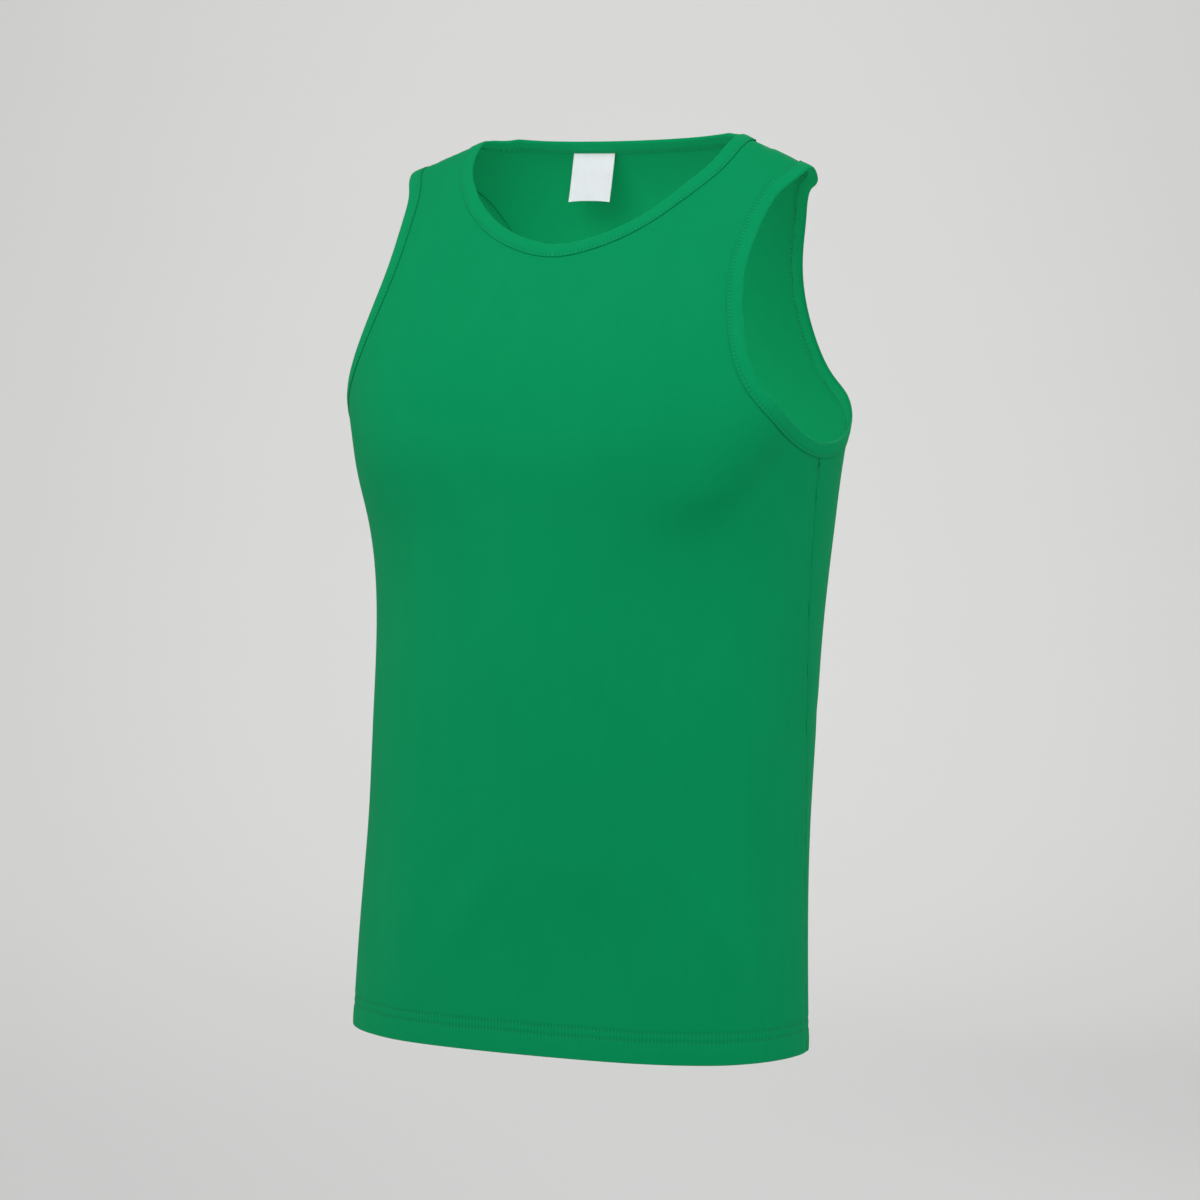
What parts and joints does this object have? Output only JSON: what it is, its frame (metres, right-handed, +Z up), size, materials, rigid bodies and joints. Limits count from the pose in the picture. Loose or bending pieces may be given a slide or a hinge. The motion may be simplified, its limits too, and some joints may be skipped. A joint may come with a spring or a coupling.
{
  "type": "athletic vest",
  "caption": "Sleeveless athletic vest of smooth knit, hollow as when worn, with a scoop neckline, wide armholes, folded bindings, a turned-up hem and a bare label inside the back neck.",
  "frame": {"origin": "midway between the two neck points, on the level where the cloth rests on the wearer's shoulders", "axes": "+Z up the wearer's body, -Y out of the front, +X towards the wearer's left"},
  "size_m": [0.408, 0.2497, 0.6966],
  "materials": {
    "front_knit": "smooth fine knit, matt",
    "back_knit": "smooth fine knit, matt",
    "neck_binding_knit": "smooth fine knit, matt",
    "left_binding_knit": "smooth fine knit, matt",
    "right_binding_knit": "smooth fine knit, matt",
    "label_satin": "woven satin tape"
  },
  "bodies": {
    "root": {"front_panel": "front_knit", "back_panel": "back_knit", "neck_binding": "neck_binding_knit", "left_armhole_binding": "left_binding_knit", "right_armhole_binding": "right_binding_knit", "neck_label": "label_satin"}
  },
  "joints": []
}
